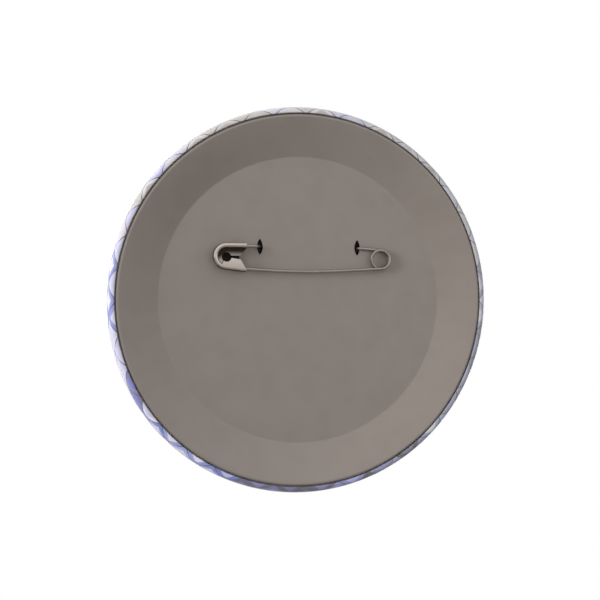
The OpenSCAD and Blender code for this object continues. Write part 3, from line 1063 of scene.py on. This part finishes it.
@dataclass
class PressedSheet:
    """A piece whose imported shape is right: it is copied, merged, smoothed and dressed."""

    node: str
    name: str
    body: Body
    slot: Slot
    finish: bpy.types.Material
    merge_mm: float = 0.0005
    smooth_angle: float = 32.0

    def dress(self, mesh: bpy.types.Mesh) -> None:
        """Gives the whole mesh one finish."""
        mesh.materials.clear()
        mesh.materials.append(self.finish)

    def build(self) -> None:
        """Makes the smoothed copy and puts it in place of the node."""
        mesh = FRAME["nodes"][self.node].data.copy()
        shape = bmesh.new()
        shape.from_mesh(mesh)
        bmesh.ops.remove_doubles(shape, verts=shape.verts, dist=self.merge_mm * MM)
        for face in shape.faces:
            face.smooth = True
        for edge in shape.edges:
            edge.smooth = (len(edge.link_faces) == 2
                           and math.degrees(edge.calc_face_angle(0.0)) < self.smooth_angle)
        shape.to_mesh(mesh)
        shape.free()
        self.dress(mesh)
        settle(add_object(self.name, mesh), self.name, self.body, self.slot, self.node)


@dataclass
class FoldedClasp(PressedSheet):
    """The clasp, whose inside faces get a near-black painted shade."""

    inside: Optional[bpy.types.Material] = None
    centre: tuple[float, float, float] = (CLASP_X, -1.14675, 6.36558)
    fold_r: float = 1.93442
    core_in: float = 0.45
    leg_angle: float = 6.58474

    def core(self, place: Vector) -> Vector:
        """Gives the point on the fold's own middle line that is nearest to a place.

        Args:
            place: A point on the sheet, in millimetres.

        Returns:
            The middle line's point, in millimetres.
        """
        x, y, z = self.centre
        reach = self.fold_r - self.core_in
        if place.x > x:
            away = Vector((place.x - x, 0, place.z - z)).normalized() * reach
            return Vector((x, y, z)) + away
        if place.z > z:
            return Vector((place.x, y, z + reach))
        fall = (x - place.x) * math.tan(math.radians(self.leg_angle))
        return Vector((place.x, y, z - reach - fall))

    def dress(self, mesh: bpy.types.Mesh) -> None:
        """Gives the outside its plating and the inside faces a near-black painted shade.

        Args:
            mesh: The clasp's mesh.
        """
        super().dress(mesh)
        mesh.materials.append(self.inside)
        # Faces that look into the fold get the near-black painted shade
        for face in mesh.polygons:
            place = face.center / MM
            if (self.core(place) - place).dot(face.normal) > 0:
                face.material_index = 1


@dataclass(frozen=True)
class SoftLamp:
    """A round lamp that shines on the badge, placed in metres by the camera's directions."""

    name: str
    across: float
    high: float
    back: float
    power: float
    mirrored: bool
    size: float = 0.6
    spread: float = 30.0


@dataclass
class Studio:
    """The camera, the lamps, the pale world and the floor."""

    distance: float = 0.122
    turn: float = 12.41
    tilt: float = 0.57
    aim_mm: Point = (-0.90, 0.035)
    lens: float = 50.25
    sensor_w: float = 36.0
    clip: Point = (0.002, 10.0)
    surround: float = 0.65
    floor_z: float = -0.5
    floor_r: float = 5.0
    floor_shift: float = 4.05
    floor_sides: int = 96
    floor_colour: str = "#d2cfcb"
    floor_roughness: float = 0.8
    lamps: Sequence[SoftLamp] = (
        SoftLamp("key", -0.78, 0.15, 0.62, 0.78, mirrored=False),
        SoftLamp("front", -0.25, 0.15, -0.90, 0.3, mirrored=True))

    def axes(self) -> tuple[Vector, Vector, Vector]:
        """Works out the camera's own directions.

        Returns:
            Right, up and forward.
        """
        turn, tilt = math.radians(self.turn), math.radians(self.tilt)
        ahead = Vector((-math.sin(turn) * math.cos(tilt), -math.cos(turn) * math.cos(tilt),
                        -math.sin(tilt)))
        right = Vector((-math.cos(turn), math.sin(turn), 0))
        return right, right.cross(ahead), ahead

    def place_camera(self) -> None:
        """Sets the camera at its viewing angle."""
        right, up, ahead = self.axes()
        target = right * self.aim_mm[0] * MM + up * self.aim_mm[1] * MM
        data = bpy.data.cameras.new("camera")
        data.lens, data.sensor_width = self.lens, self.sensor_w
        data.clip_start, data.clip_end = self.clip
        camera = add_object("camera", data)
        camera.matrix_world = Matrix.Translation(target - ahead * self.distance) @ Matrix(
            (right, up, -ahead)).transposed().to_4x4()
        bpy.context.scene.camera = camera

    def place_lamps(self) -> None:
        """Sets the soft lamps round the badge."""
        right, up, ahead = self.axes()
        for soft in self.lamps:
            data = bpy.data.lights.new(soft.name, "AREA")
            data.shape, data.size, data.energy = "DISK", soft.size, soft.power
            data.spread = math.radians(soft.spread)
            lamp = add_object(soft.name, data)
            lamp.visible_glossy = soft.mirrored
            place = right * soft.across + up * soft.high - ahead * soft.back
            lamp.location = place
            lamp.rotation_euler = (-place).to_track_quat("-Z", "Y").to_euler()

    def light_world(self) -> None:
        """Gives a soft grey surround that the camera and mirrors see as white."""
        world = bpy.data.worlds.new("studio")
        bpy.context.scene.world = world
        world.use_nodes = True
        tree = world.node_tree
        tree.nodes.clear()
        path = add_node(tree, "ShaderNodeLightPath").outputs
        soft, white = (
            add_node(
                tree, "ShaderNodeBackground",
                {"Color": (1, 1, 1, 1), "Strength": strength}).outputs[0]
            for strength in (self.surround, 1.0))
        made: dict[str, Target] = {
            name: path[f"Is {name} Ray"] for name in ("Camera", "Glossy", "Transmission")}
        add_sums(tree, "ShaderNodeMath", made, [
            ("direct", "MAXIMUM", "Camera", "Glossy"),
            ("shown", "MAXIMUM", "direct", "Transmission")])
        seen = add_node(tree, "ShaderNodeMixShader", {0: made["shown"], 1: soft, 2: white})
        add_node(tree, "ShaderNodeOutputWorld", {0: seen.outputs[0]})

    def lay_floor(self) -> None:
        """Lays a plain pale floor well below the badge, mostly on the camera's side."""
        mesh = bpy.data.meshes.new("floor")
        centre = self.axes()[2] * -self.floor_shift
        ring = arc((centre.x, centre.y), self.floor_r, 0, 360, self.floor_sides)
        mesh.from_pydata(
            [(*spot, self.floor_z) for spot in ring], [], [tuple(range(self.floor_sides))])
        material, tree = new_material("pale_floor")
        end_material(tree, {
            "Base Color": linear(self.floor_colour), "Roughness": self.floor_roughness})
        mesh.materials.append(material)
        floor = add_object("floor", mesh)

    def build(self) -> None:
        """Sets up everything that isn't the badge."""
        bpy.context.scene.view_settings.view_transform = "Standard"
        self.place_camera()
        self.place_lamps()
        self.light_world()
        self.lay_floor()


def main() -> None:
    """Builds the studio and every piece in order."""
    logging.basicConfig(level=logging.INFO, format="%(message)s")
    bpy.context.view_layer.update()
    Studio().build()
    low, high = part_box("clear_film")
    WrappedLayers(badge_r=(high.x - low.x) / 2 / MM, thick=(high.y - low.y) / MM).build()
    tinplate = DullTinplate().make()
    shell = FRAME["nodes"]["face_shell"]
    shell.data.materials.clear()
    shell.data.materials.append(tinplate)
    PressedSheet("back_plate", "dished_back", Body.BADGE, Slot.TINPLATE, tinplate).build()
    FoldedClasp(
        "clasp", "folded_clasp", Body.PIN, Slot.CLASP, ShadePaintedNickel().make(),
        inside=InsideShadeSteel().make()).build()
    PinWire().build()


if __name__ == "__main__":
    main()
